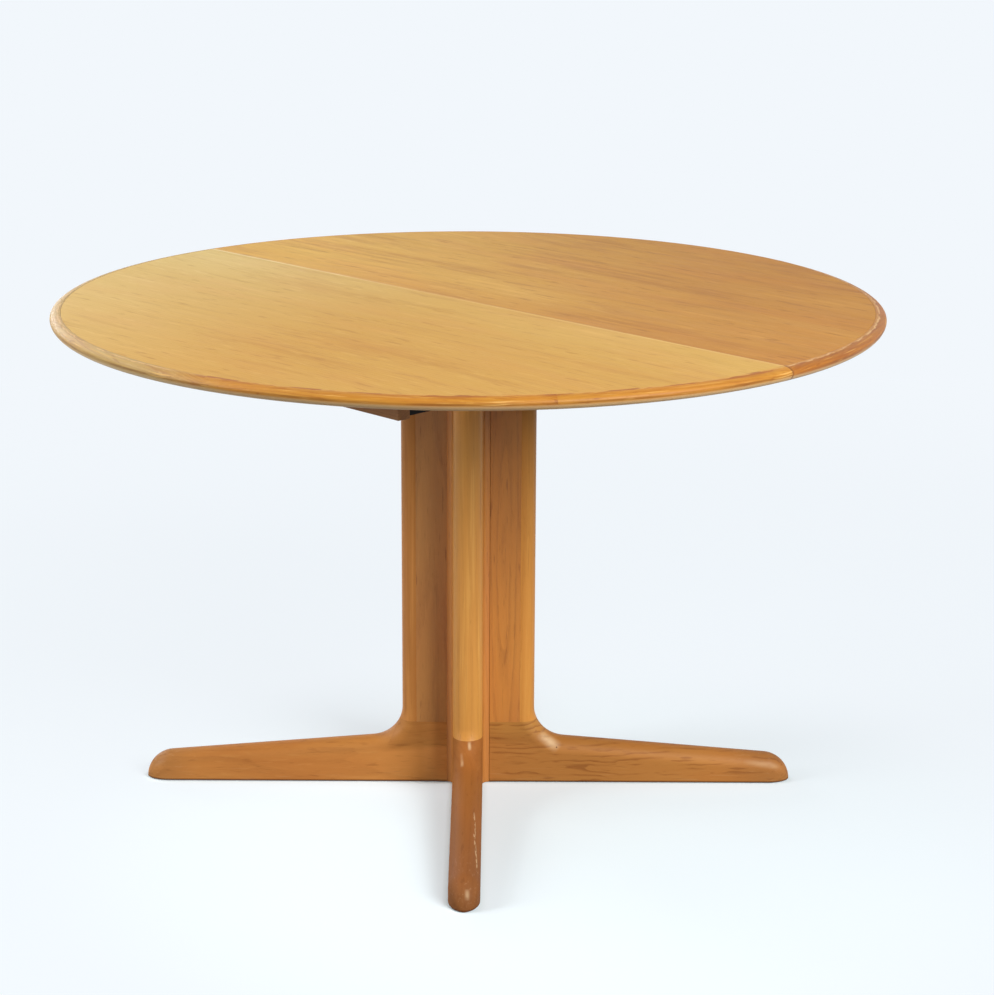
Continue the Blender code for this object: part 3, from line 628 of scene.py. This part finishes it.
fin = {
    "turns": {"front": 225.0, "left": 135.0, "right": 315.0, "back": 45.0},
    "half": 0.0216, "reach": 0.098, "root": 0.03180, "postFace": 0.0764, "top": 0.6794, "joint": 0.096,
    "legBottom": 0.0013, "legReach": 0.4805, "legRoot": 0.067, "slope": 0.0823, "fillet": 0.0475,
    "taper": 0.9, "noseShare": 0.6, "tipEase": (0.3, 0.2), "tipClear": 0.05,
    "halfGap": 0.00002, "rootEase": 0.0001, "footEase": 0.0016, "arris": 0.0001,
    "noseSteps": 26, "cornerSteps": 3, "filletSteps": 26, "legSteps": 8, "tipSteps": 22,
    "panel": variant(
        body=tint(190, 122, 52), pale=tint(206, 142, 68), deep=tint(162, 96, 38), tick=tint(124, 68, 26),
        blush=tint(188, 110, 54), ring=0.006, heart=(0.06, 0.05, 0.03, 0.03), figure=0.18, dash=0.45,
        paleDash=0.28, streak=0.8, blotch=0.8, fibre=0.2, pore=0.4),
    "post": variant(
        body=tint(205, 142, 62), pale=tint(222, 164, 80), deep=tint(177, 112, 46), tick=tint(148, 89, 34),
        blush=tint(206, 138, 66), ring=0.009, heart=(0.09, 0.03, 0.02, 0.02), figure=0.12,
        dash=0.36, paleDash=0.5, dashScale=(6.0, 190.0), streak=1.1, streakScale=(2.5, 120.0),
        band=0.8, bandScale=(1.2, 70.0), blotch=0.5, fibre=0.14, pore=0.3, rough=0.44, gloss=0.36, coat=0.05),
    "leg": variant(
        body=tint(199, 131, 61), pale=tint(212, 149, 78), deep=tint(168, 101, 42), tick=tint(124, 68, 26),
        blush=tint(190, 112, 50), ring=0.0075, heart=(0.03, 0.05, 0.06, 0.04), wander=0.012, drift=0.02,
        figure=0.15, dash=0.32, paleDash=0.2, dashScale=(26.0, 170.0), streak=0.5, streakScale=(5.0, 60.0),
        blotch=0.9, fibre=0.16, pore=0.35, rough=0.52, gloss=0.2, coat=0.03),
    # shift of the patterns from fin to fin
    "shiftStep": {"leg": (1.9, 0.0, 0.013), "panel": (2.7, 0.0, 0.0), "post": (3.3, 0.0, 0.01)},
    # pale for wear and painted highlights; dark for painted shade round the foot and for specks
    "wearAndGlint": tint(238, 208, 162), "shadeAndSpeck": tint(84, 44, 18),
}
# what sets single pieces apart
fin["own"] = {
    "left_post": {"body": tint(182, 119, 58), "pale": tint(204, 140, 73), "deep": tint(160, 95, 43),
                  "gloss": 0.2, "coat": 0.0},
    "back_post": {"body": tint(190, 124, 54), "pale": tint(206, 144, 70), "deep": tint(162, 98, 40),
                  "tick": tint(124, 70, 26)},
    # painted light: paler high up, where the top's shade falls
    "front_post": {"fades": [(upright, 0.52, 0.65, (1.75, 1.62, 1.55, 1.0))]},
    "right_post": {"body": tint(204, 138, 62), "pale": tint(217, 155, 76), "deep": tint(177, 112, 46),
                   "gloss": 0.2, "coat": 0.0},
    "left_panel": {"body": tint(187, 130, 67), "pale": tint(206, 146, 79), "deep": tint(164, 101, 47)},
    "left_leg": {"body": tint(198, 132, 65), "pale": tint(211, 150, 82), "deep": tint(168, 103, 47),
                 # the first is square to the leg's sloping top and paints shade along the top; the second
                 # darkens towards the tip; the third is painted light by the core
                 "fades": [((-0.0582, 0.0582, 1.0), 0.056, 0.066, (0.77, 0.77, 0.72, 1.0)),
                           (leftward, 0.40, 0.455, (0.84, 0.86, 0.95, 1.0)),
                           (leftward, 0.075, 0.05, (1.36, 1.45, 1.65, 1.0))]},
    "front_leg": {"body": tint(156, 97, 44), "pale": tint(172, 113, 56), "deep": tint(131, 75, 30),
                  "gloss": 0.12, "coat": 0.0, "rough": 0.6,
                  # painted shade: darker towards the tip
                  "fades": [(frontward, 0.12, 0.45, (0.69, 0.71, 0.96, 1.0))]},
    "right_panel": {"body": tint(202, 134, 57), "heart": (0.055, -0.0024, 0.06, 0.03), "figure": 0.26,
                    "ring": 0.0085, "blushShare": 0.4,
                    # painted shade lower down, and painted light high up under the top
                    "fades": [(upright, 0.22, 0.40, (0.90, 0.88, 0.92, 1.0)),
                              (upright, 0.52, 0.64, (1.55, 1.48, 1.42, 1.0))]},
    "right_leg": {"body": tint(182, 121, 58), "pale": tint(198, 141, 74), "deep": tint(158, 95, 41),
                  "tick": tint(132, 74, 30), "heart": (0.024, 0.0, 0.06, 0.05), "figure": 0.62,
                  "broken": 0.97, "breaks": (0.45, 0.62), "ring": 0.0072, "ripple": 2.1, "dash": 0.5,
                  # the first is paler high up on the fillet; the second is square to the leg's sloping top
                  # and paints shade along the top; the third darkens towards the tip
                  "fades": [(upright, 0.066, 0.088, (1.14, 1.26, 1.25, 1.0)),
                            ((0.0582, -0.0582, 1.0), 0.062, 0.074, (0.85, 0.84, 0.80, 1.0)),
                            (rightward, 0.36, 0.45, (0.83, 0.86, 0.97, 1.0))]},
}
# painted highlights and scratches on each leg from end to end, in reach, side and height, with width and
# strength
fin["glints"] = {
    "front": [((0.1010, 0.0026, 0.0962), (0.1082, 0.0034, 0.0838), 0.0037, 0.52),
              ((0.1095, -0.0098, 0.0822), (0.1310, -0.0070, 0.0662), 0.0039, 0.44),
              ((0.4680, 0.0042, 0.0290), (0.4770, 0.0042, 0.0160), 0.0048, 0.4)],
    "right": [((0.1060, -0.0148, 0.0780), (0.1360, -0.0203, 0.0530), 0.0130, 0.58),
              ((0.4100, -0.0205, 0.0345), (0.4720, -0.0175, 0.0245), 0.0070, 0.2)],
    "left": [((0.1095, -0.0060, 0.0795), (0.1250, -0.0060, 0.0680), 0.0044, 0.4)],
    "back": [((0.1130, 0.0100, 0.0775), (0.1310, 0.0100, 0.0645), 0.0050, 0.4)],
}
fin["scratches"] = {
    "front": [((0.2671, 0.0110, 0.0535), (0.3300, 0.0150, 0.0470), 0.0024, 0.5),
              ((0.3300, 0.0125, 0.0480), (0.4265, 0.0172, 0.0344), 0.0026, 0.5)],
    "right": [], "left": [], "back": [],
}
# specks, with place and size
fin["dots"] = {"front": [], "right": [((0.1316, -0.0197, 0.0558), 0.0016)], "left": [], "back": []}
legWear = {  # scales along and across and edges of noise, places in reach or height, and strengths
    "patch": (45.0, 90.0), "patchEdge": (0.05, 0.5), "torn": (95.0, 380.0), "tornEdge": (0.44, 0.56),
    "tipFleck": (90.0, 300.0), "tipFleckEdge": (0.60, 0.72), "tipFleckReach": (0.36, 0.46), "tipFleckHeight": (0.010, 0.022),
    "tipFleckShare": 0.08,
    "sweep": (14.0, 420.0), "sweepEdge": (0.60, 0.74), "sweepHeight": (0.030, 0.006), "sweepShare": 0.1,
    "footHeight": (0.0050, 0.0022), "footUnder": (0.00132, 0.0018), "footShare": 0.75,
    "dotCore": 0.4, "dotShare": 0.85,
}
core = {
    "half": 0.03175, "gap": 0.0007, "top": 0.6774, "coveSteps": 14,
    "shift": {"near": (5.4, 0.0, 0.0), "far": (3.4, 0.0, 0.0)},
    "look": variant(
        body=tint(197, 129, 56), pale=tint(209, 144, 70), deep=tint(168, 104, 42), tick=tint(126, 72, 30),
        figure=0.15, dash=0.3),
}


def finSection(outer, inner, halfWidth, nose, ease):
    # from one inner corner round the nose to the other inner corner
    reach = Vector((inner[0] - outer[0], 0.0, inner[1] - outer[1]))
    inward = reach.normalized()
    apex = Vector((outer[0], 0.0, outer[1]))
    side = Vector(alongY)
    corner = apex + reach - inward * ease
    turns = [math.pi / 2 * step / fin["cornerSteps"] for step in range(fin["cornerSteps"] + 1)]
    inset = [corner + inward * ease * math.cos(turn) for turn in turns]
    spread = [side * (halfWidth - ease + ease * math.sin(turn)) for turn in turns]
    points = [place - offset for place, offset in zip(inset, spread)]
    last = [place + offset for place, offset in zip(inset, spread)]
    for step in range(fin["noseSteps"] + 1):
        angle = math.pi * (step / fin["noseSteps"] - 0.5)
        points.append(apex + inward * nose * (1 - math.cos(angle)) + side * halfWidth * math.sin(angle))
    return points + last[::-1]


def filletSections(centre, lastAngle):
    bottom, root = fin["legBottom"], fin["root"]
    cornerAngle = math.atan2(centre[1] - bottom, centre[0] - root)
    count = fin["filletSteps"]
    angles = [lastAngle * step / count for step in range(count + 1)]
    nearest = min(range(1, count), key=lambda step: abs(angles[step] - cornerAngle))
    angles[nearest] = cornerAngle
    sections = []
    for step, angle in enumerate(angles):
        outer = (centre[0] - fin["fillet"] * math.cos(angle), centre[1] - fin["fillet"] * math.sin(angle))
        if step <= nearest:
            inner = (root, centre[1] - (centre[0] - root) * math.tan(angle))
            ease = fin["rootEase"]
        else:
            inner = (centre[0] - (centre[1] - bottom) / math.tan(angle), bottom)
            ease = fin["footEase"]
        sections.append(finSection(outer, inner, fin["half"], fin["half"], ease))
    return sections


def tipSections(radius, length):
    sections = []
    for step in range(fin["tipSteps"]):
        angle = math.pi / 2 * step / fin["tipSteps"]
        back = length * (1 - math.sin(angle))
        place = fin["legReach"] - back
        rise = math.sqrt(radius ** 2 - (radius - back) ** 2)
        halfWidth = fin["half"] * math.cos(angle)
        nose = min(fin["half"], fin["noseShare"] * rise)
        ease = min(fin["footEase"], fin["tipEase"][0] * halfWidth, fin["tipEase"][1] * rise)
        outer = (place, fin["legBottom"] + rise)
        sections.append(finSection(outer, (place, fin["legBottom"]), halfWidth, nose, ease))
    sections.append([(fin["legReach"], 0.0, fin["legBottom"])])
    return sections


def finBlank():
    # fin and leg in one, reach along X, before the saw
    lean = math.atan(fin["slope"])
    lastAngle = math.pi / 2 - lean
    centre = (fin["reach"] + fin["fillet"], fin["legRoot"] + fin["fillet"] * math.sin(lastAngle))
    sections = [finSection((fin["reach"], fin["top"]), (fin["root"], fin["top"]), fin["half"], fin["half"],
                           fin["rootEase"])]
    sections += filletSections(centre, lastAngle)
    rootPlace = centre[0] - fin["fillet"] * math.cos(lastAngle)
    endRise = fin["legRoot"] - fin["slope"] * (fin["legReach"] - rootPlace) - fin["legBottom"]
    tipRadius = endRise * math.cos(lean) / (1 - math.sin(lean))
    tipLength = tipRadius * (1 - math.sin(lean))
    tipPlace = fin["legReach"] - tipLength
    for step in range(1, fin["legSteps"] + 1):
        share = step / fin["legSteps"]
        place = rootPlace + (tipPlace - rootPlace) * share
        top = fin["legRoot"] - fin["slope"] * (place - rootPlace)
        foot = place - fin["slope"] * (1 - share) * (top - fin["legBottom"])
        sections.append(finSection((place, top), (foot, fin["legBottom"]), fin["half"], fin["half"],
                                   fin["footEase"]))
    sections += tipSections(tipRadius, fin["taper"] * tipLength)
    return loft(sections)


def legMarks(name, swing, side, wear):
    def marks(finish, spot, run, colour):
        lateral = finish.lean(spot, side)
        height = finish.lean(spot, upright)

        def flecks(kind):
            runScale, sideScale = wear[kind]
            noise = finish.cloud(run * runScale, height * sideScale, lateral * sideScale)
            return finish.between(noise, *wear[kind + "Edge"])

        # pale marks: painted highlights, and real scratches
        wearAndGlint = 0.0
        for kind, broken in (("glints", flecks("patch")), ("scratches", flecks("torn"))):
            for start, end, width, strength in fin[kind][name]:
                away, share = finish.fromStroke(spot, swing @ Vector(start), swing @ Vector(end))
                mark = finish.between(away, width, 0.0) * broken * strength
                if kind == "glints":  # thins out towards both ends
                    mark = mark * share * (1 - share) * 4
                wearAndGlint = mark.calc("MAXIMUM", wearAndGlint)
        # pale flecks at the end, brush strokes near the floor, and painted shade round the foot
        tipFleck = flecks("tipFleck") * finish.between(run, *wear["tipFleckReach"])
        tipFleck = tipFleck * finish.between(height, *wear["tipFleckHeight"])
        sweep = flecks("sweep") * finish.between(height, *wear["sweepHeight"])
        marked = (tipFleck * wear["tipFleckShare"] + sweep * wear["sweepShare"]).calc("MAXIMUM", wearAndGlint)
        colour = finish.blend(marked, colour, fin["wearAndGlint"])
        # painted shade along the foot, kept off its underside
        foot = finish.between(height, *wear["footHeight"]) * finish.between(height, *wear["footUnder"])
        colour = finish.blend(foot * wear["footShare"], colour, fin["shadeAndSpeck"])
        for place, size in fin["dots"][name]:
            away = finish.apart(spot, swing @ Vector(place))
            speck = finish.between(away, size, size * wear["dotCore"]) * wear["dotShare"]
            colour = finish.blend(speck, colour, fin["shadeAndSpeck"])
        return colour, marked
    return marks


def buildFin(name, turn, seed):
    up, outward = Vector(upright), Vector(alongX)
    swing = Matrix.Rotation(math.radians(turn), 4, "Z")
    reach, side = swing @ outward, swing @ Vector(alongY)
    gap, joint, face = fin["halfGap"], fin["joint"], fin["postFace"]

    leg = sawn(finBlank(), Vector((0.0, 0.0, joint - gap)), up)
    eased(leg, fin["arris"], limit=fin["legReach"] - fin["tipClear"])
    panel = sawn(finBlank(), Vector((0.0, 0.0, joint + gap)), -up)
    sawn(panel, Vector((face - gap, 0.0, 0.0)), outward)
    eased(panel, fin["arris"])
    post = sawn(finBlank(), Vector((0.0, 0.0, joint + gap)), -up)
    sawn(post, Vector((face + gap, 0.0, 0.0)), -outward)
    eased(post, fin["arris"])
    for shape in (leg, panel, post):
        shape.transform(swing)

    # shape, direction of the grain and direction across it
    parts = {"leg": (leg, reach, upright), "panel": (panel, upright, reach), "post": (post, upright, reach)}
    for part, (shape, along, across) in parts.items():
        node = f"{name}_{part}"
        look = {**fin[part], **fin["own"].get(node, {})}
        if part == "leg":
            look["marks"] = legMarks(name, swing, side, legWear)
        shift = [seed * step for step in fin["shiftStep"][part]]
        finish = oak(name + part.capitalize(), look, along, across, side, shift)
        addPiece(node + "_oak", shape, finish, node)


def coreOutline():
    # a square with a hollow at each corner
    flat = core["half"]
    cove = flat - fin["half"]
    points = []
    for quarter in range(4):
        spin = Matrix.Rotation(math.pi / 2 * quarter, 2)
        for step in range(core["coveSteps"] + 1):
            angle = math.radians(270 - 90 * step / core["coveSteps"])
            points.append(spin @ Vector((flat + cove * math.cos(angle), flat + cove * math.sin(angle))))
    return points


def buildCore():
    swing = Matrix.Rotation(math.radians(fin["turns"]["right"]), 4, "Z")
    for half, sign in (("near", 1.0), ("far", -1.0)):
        normal = Vector((fin["half"], core["half"], 0.0)).normalized() * sign
        outline = coreOutline()
        shape = loft([[(p.x, p.y, z) for p in outline] for z in (fin["legBottom"], core["top"])])
        sawn(shape, -normal * core["gap"] / 2, normal)
        eased(shape, fin["rootEase"])
        shape.transform(swing)
        finish = oak(half + "Core", core["look"], upright, backward, rightward, core["shift"][half])
        addPiece(half + "_core_oak", shape, finish, half + "_core")


for seed, (finName, finTurn) in enumerate(fin["turns"].items(), start=1):
    buildFin(finName, finTurn, seed)
buildCore()
print("pedestal done")


# frame under the top

underFrame = {
    "railArris": 0.0015, "bearerArris": 0.0012, "railShift": (1.1, 0.0, 0.3), "bearerShift": (5.2, 0.03, 0.1),
    "wood": variant(
        body=tint(170, 120, 75), pale=tint(188, 138, 90), deep=tint(140, 96, 57), tick=tint(98, 62, 34),
        blush=tint(164, 110, 70), rough=0.6, gloss=0.3, coat=0.0, fibre=0.3, pore=0.5),
}
steel = {
    "arris": 0.0004, "smallArris": 0.00024, "pinArris": 0.001,
    "drawn": (35.0, 900.0), "patch": 40.0, "patchEdge": (0.48, 0.7),
    "nick": (260.0, 90.0), "nickEdge": (0.63, 0.74),
    "patchRub": 0.7, "nickRub": 0.6, "patchRough": 0.25, "drawnRough": 0.12,
    "drawnRise": 0.5, "relief": 0.2, "depth": 0.0002,
    "kinds": {
        # black paint, made as dark as the deep shade it stands in for under the top: painted shade
        "black": {"name": "blackSteel", "base": tint(16, 14, 13), "marked": tint(58, 54, 50),
                  "metal": 0.0, "rough": 0.7, "rub": 0.3, "gloss": 0.15},
        "bright": {"name": "brightSteel", "base": tint(190, 188, 182), "marked": tint(140, 136, 128),
                   "metal": 1.0, "rough": 0.34, "rub": 0.6, "gloss": 0.5},
        "brass": {"name": "pinBrass", "base": tint(205, 168, 92), "marked": tint(150, 112, 52),
                  "metal": 1.0, "rough": 0.3, "rub": 0.6, "gloss": 0.5},
    },
}
glide = {
    "arris": 0.0006, "base": tint(58, 50, 42), "dust": tint(120, 110, 98),
    "pebble": 1400.0, "dustScale": 90.0, "dustEdge": (0.45, 0.7), "dustShare": 0.5,
    "rough": 0.55, "pebbleRough": 0.2, "dustRough": 0.15, "relief": 0.25, "depth": 0.0002,
}


def metal(look):
    finish = Finish(bpy.data.materials.new(look["name"]))
    x, y, z = finish.axes(finish.place())
    long, wide = steel["drawn"]
    drawn = finish.cloud(x * long, y * wide, z * wide, 3.0)
    size = steel["patch"]
    patch = finish.cloud(x * size, y * size, z * size, 4.0, 0.6)
    wide, tall = steel["nick"]
    nick = finish.between(finish.cloud(x * wide, y * tall, z * wide), *steel["nickEdge"])
    rub = finish.between(patch, *steel["patchEdge"]) * steel["patchRub"] + nick * steel["nickRub"]
    rough = look["rough"] + (patch - 0.5) * steel["patchRough"] + (drawn - 0.5) * steel["drawnRough"]
    return finish.close(
        Base_Color=finish.blend(rub * look["rub"], look["base"], look["marked"]),
        Roughness=rough,
        Metallic=look["metal"],
        Specular_IOR_Level=look["gloss"],
        Normal=finish.bump(drawn * steel["drawnRise"] - nick, steel["relief"], steel["depth"]),
    )


def nylon(name, look):
    finish = Finish(bpy.data.materials.new(name))
    x, y, z = finish.axes(finish.place())
    size = look["pebble"]
    pebble = finish.cloud(x * size, y * size, z * size)
    size = look["dustScale"]
    dust = finish.between(finish.cloud(x * size, y * size, z * size, 4.0, 0.6), *look["dustEdge"])
    return finish.close(
        Base_Color=finish.blend(dust * look["dustShare"], look["base"], look["dust"]),
        Roughness=look["rough"] + (pebble - 0.5) * look["pebbleRough"] + dust * look["dustRough"],
        Normal=finish.bump(pebble, look["relief"], look["depth"]),
    )


def buildFrame():
    for half in ("near", "far"):
        node = half + "_end_rail"
        finish = oak(half + "EndRail", underFrame["wood"], alongY, upright, alongX, underFrame["railShift"])
        addPiece(node + "_oak", eased(fromSolid(node), underFrame["railArris"]), finish, node)
        node = half + "_bearer"
        finish = oak(half + "Bearer", underFrame["wood"], alongX, alongY, upright, underFrame["bearerShift"])
        addPiece(node + "_oak", eased(fromSolid(node), underFrame["bearerArris"]), finish, node)
    metals = {kind: metal(look) for kind, look in steel["kinds"].items()}
    hands = ("left", "right")
    slides = [f"{hand}_{part}" for hand in hands for part in ("near_channel", "far_channel", "slide_bar")]
    locks = [f"{hand}_lock_{part}" for hand in hands for part in ("plate", "pivot", "hook", "keeper")]
    screws = [f"{name}_fin_screw" for name in fin["turns"]]
    screws += [f"{half}_rail_screw_{number}" for half in ("near", "far") for number in (1, 2)]
    for node in slides:
        addPiece(node + "_steel", eased(fromSolid(node), steel["arris"]), metals["black"], node)
    for node in locks + screws:
        addPiece(node + "_steel", eased(fromSolid(node), steel["smallArris"]), metals["bright"], node)
    for number in (1, 2, 3):
        node = f"seam_pin_{number}"
        addPiece(node + "_brass", eased(fromSolid(node), steel["pinArris"]), metals["brass"], node)
    slip = nylon("glideNylon", glide)
    for name in fin["turns"]:
        node = name + "_glide"
        addPiece(node + "_nylon", eased(fromSolid(node), glide["arris"]), slip, node)


buildFrame()
print("frame, slides, locks and glides done")


# floor and light

studio = {
    "floorRadius": 40.0, "floorSides": 96,
    "floor": tint(238, 251, 255), "bounce": tint(139, 141, 143),
    "backdrop": tint(242, 247, 252),
    "shade": (-0.05, -0.25, 0.0),  # where the floor shows most of its shading
    # share of plain colour at each distance from there
    "shown": ((0.30, 0.05), (0.46, 0.30), (0.88, 0.80), (1.0, 3.0)),
    "besideLegs": 0.8, "besideSpan": (0.032, 0.022),  # how much more shading shows close to a leg
    "fill": 0.11,  # strength of the world on the object
    "target": (0.0, 0.0, 0.45),  # what the boxes face
    "boxes": {  # turn and height in degrees, distance, size and power
        "keyBox": (264.0, 29.5, 4.4, (2.4, 2.1), 234.0),
        "rearBox": (122.0, 42.0, 3.8, (1.8, 1.8), 50.0),
        "leftBox": (152.0, 20.0, 4.2, (1.2, 1.9), 90.0),
        "backBox": (80.0, 14.0, 4.6, (1.8, 1.2), 34.0),
    },
}


def seenRays(finish):
    # 1 where the camera looks at it, and 1 where the camera, a mirror or glass does
    ways = [finish.node("ShaderNodeLightPath", out=way)
            for way in ("Is Camera Ray", "Is Glossy Ray", "Is Transmission Ray")]
    return ways[0], ways[0].calc("MAXIMUM", ways[1]).calc("MAXIMUM", ways[2])


def addFloor(look):
    shape = bmesh.new()
    bmesh.ops.create_circle(shape, cap_ends=True, segments=look["floorSides"], radius=look["floorRadius"])
    mesh = bpy.data.meshes.new("studioFloor")
    shape.to_mesh(mesh)
    shape.free()
    floor = bpy.data.objects.new("studioFloor", mesh)
    scene.collection.objects.link(floor)
    finish = Finish(bpy.data.materials.new("floorPaper"))
    direct, seen = seenRays(finish)
    paperColour = finish.blend(direct, look["bounce"], look["floor"])
    paper = finish.node("ShaderNodeBsdfDiffuse", None, {"Color": paperColour})
    plain = finish.node("ShaderNodeEmission", None, {"Color": look["backdrop"], "Strength": 1.0})
    spot = finish.place()
    reach = finish.apart(spot, look["shade"])
    share = look["shown"][0][0]
    for (low, inside), (high, outside) in zip(look["shown"], look["shown"][1:]):
        share = share + (high - low) * finish.between(reach, inside, outside)
    for turn in fin["turns"].values():
        legEnd = Vector((fin["legReach"] - fin["half"], 0.0, 0.0))
        legEnd.rotate(Matrix.Rotation(math.radians(turn), 3, "Z"))
        away = finish.fromStroke(spot, Vector(), legEnd)[0]
        share = share * (1 - look["besideLegs"] * finish.between(away, *look["besideSpan"]))
    both = finish.node("ShaderNodeMixShader", None, {"Fac": seen * share, 1: paper, 2: plain})
    clear = finish.node("ShaderNodeBsdfTransparent")
    below = finish.node("ShaderNodeNewGeometry", out="Backfacing")  # the floor hides nothing from underneath
    whole = finish.node("ShaderNodeMixShader", None, {"Fac": below, 1: both, 2: clear})
    finish.node("ShaderNodeOutputMaterial", None, {"Surface": whole})
    mesh.materials.append(finish.holder)


def addWorld(look):
    scene.world = bpy.data.worlds.new("studioAir")
    air = Finish(scene.world)
    seen = seenRays(air)[1]
    plain = air.node("ShaderNodeBackground", None, {"Color": look["backdrop"], "Strength": 1.0})
    lit = air.node("ShaderNodeBackground", None, {"Color": look["backdrop"], "Strength": look["fill"]})
    both = air.node("ShaderNodeMixShader", None, {"Fac": seen, 1: lit, 2: plain})
    air.node("ShaderNodeOutputWorld", None, {"Surface": both})


def addBox(name, turn, height, distance, size, power):
    target = Vector(studio["target"])
    aim = Matrix.Rotation(math.radians(turn), 3, "Z") @ Matrix.Rotation(-math.radians(height), 3, "Y")
    place = target + aim @ Vector((distance, 0.0, 0.0))
    lamp = bpy.data.lights.new(name, "AREA")
    lamp.shape = "RECTANGLE"
    lamp.size, lamp.size_y = size
    lamp.energy = power
    holder = bpy.data.objects.new(name, lamp)
    scene.collection.objects.link(holder)
    holder.location = place
    holder.rotation_euler = (target - place).to_track_quat("-Z", "Y").to_euler()


addFloor(studio)
addWorld(studio)
for boxName, box in studio["boxes"].items():
    addBox(boxName, *box)
print("floor and light done")

bpy.context.view_layer.update()
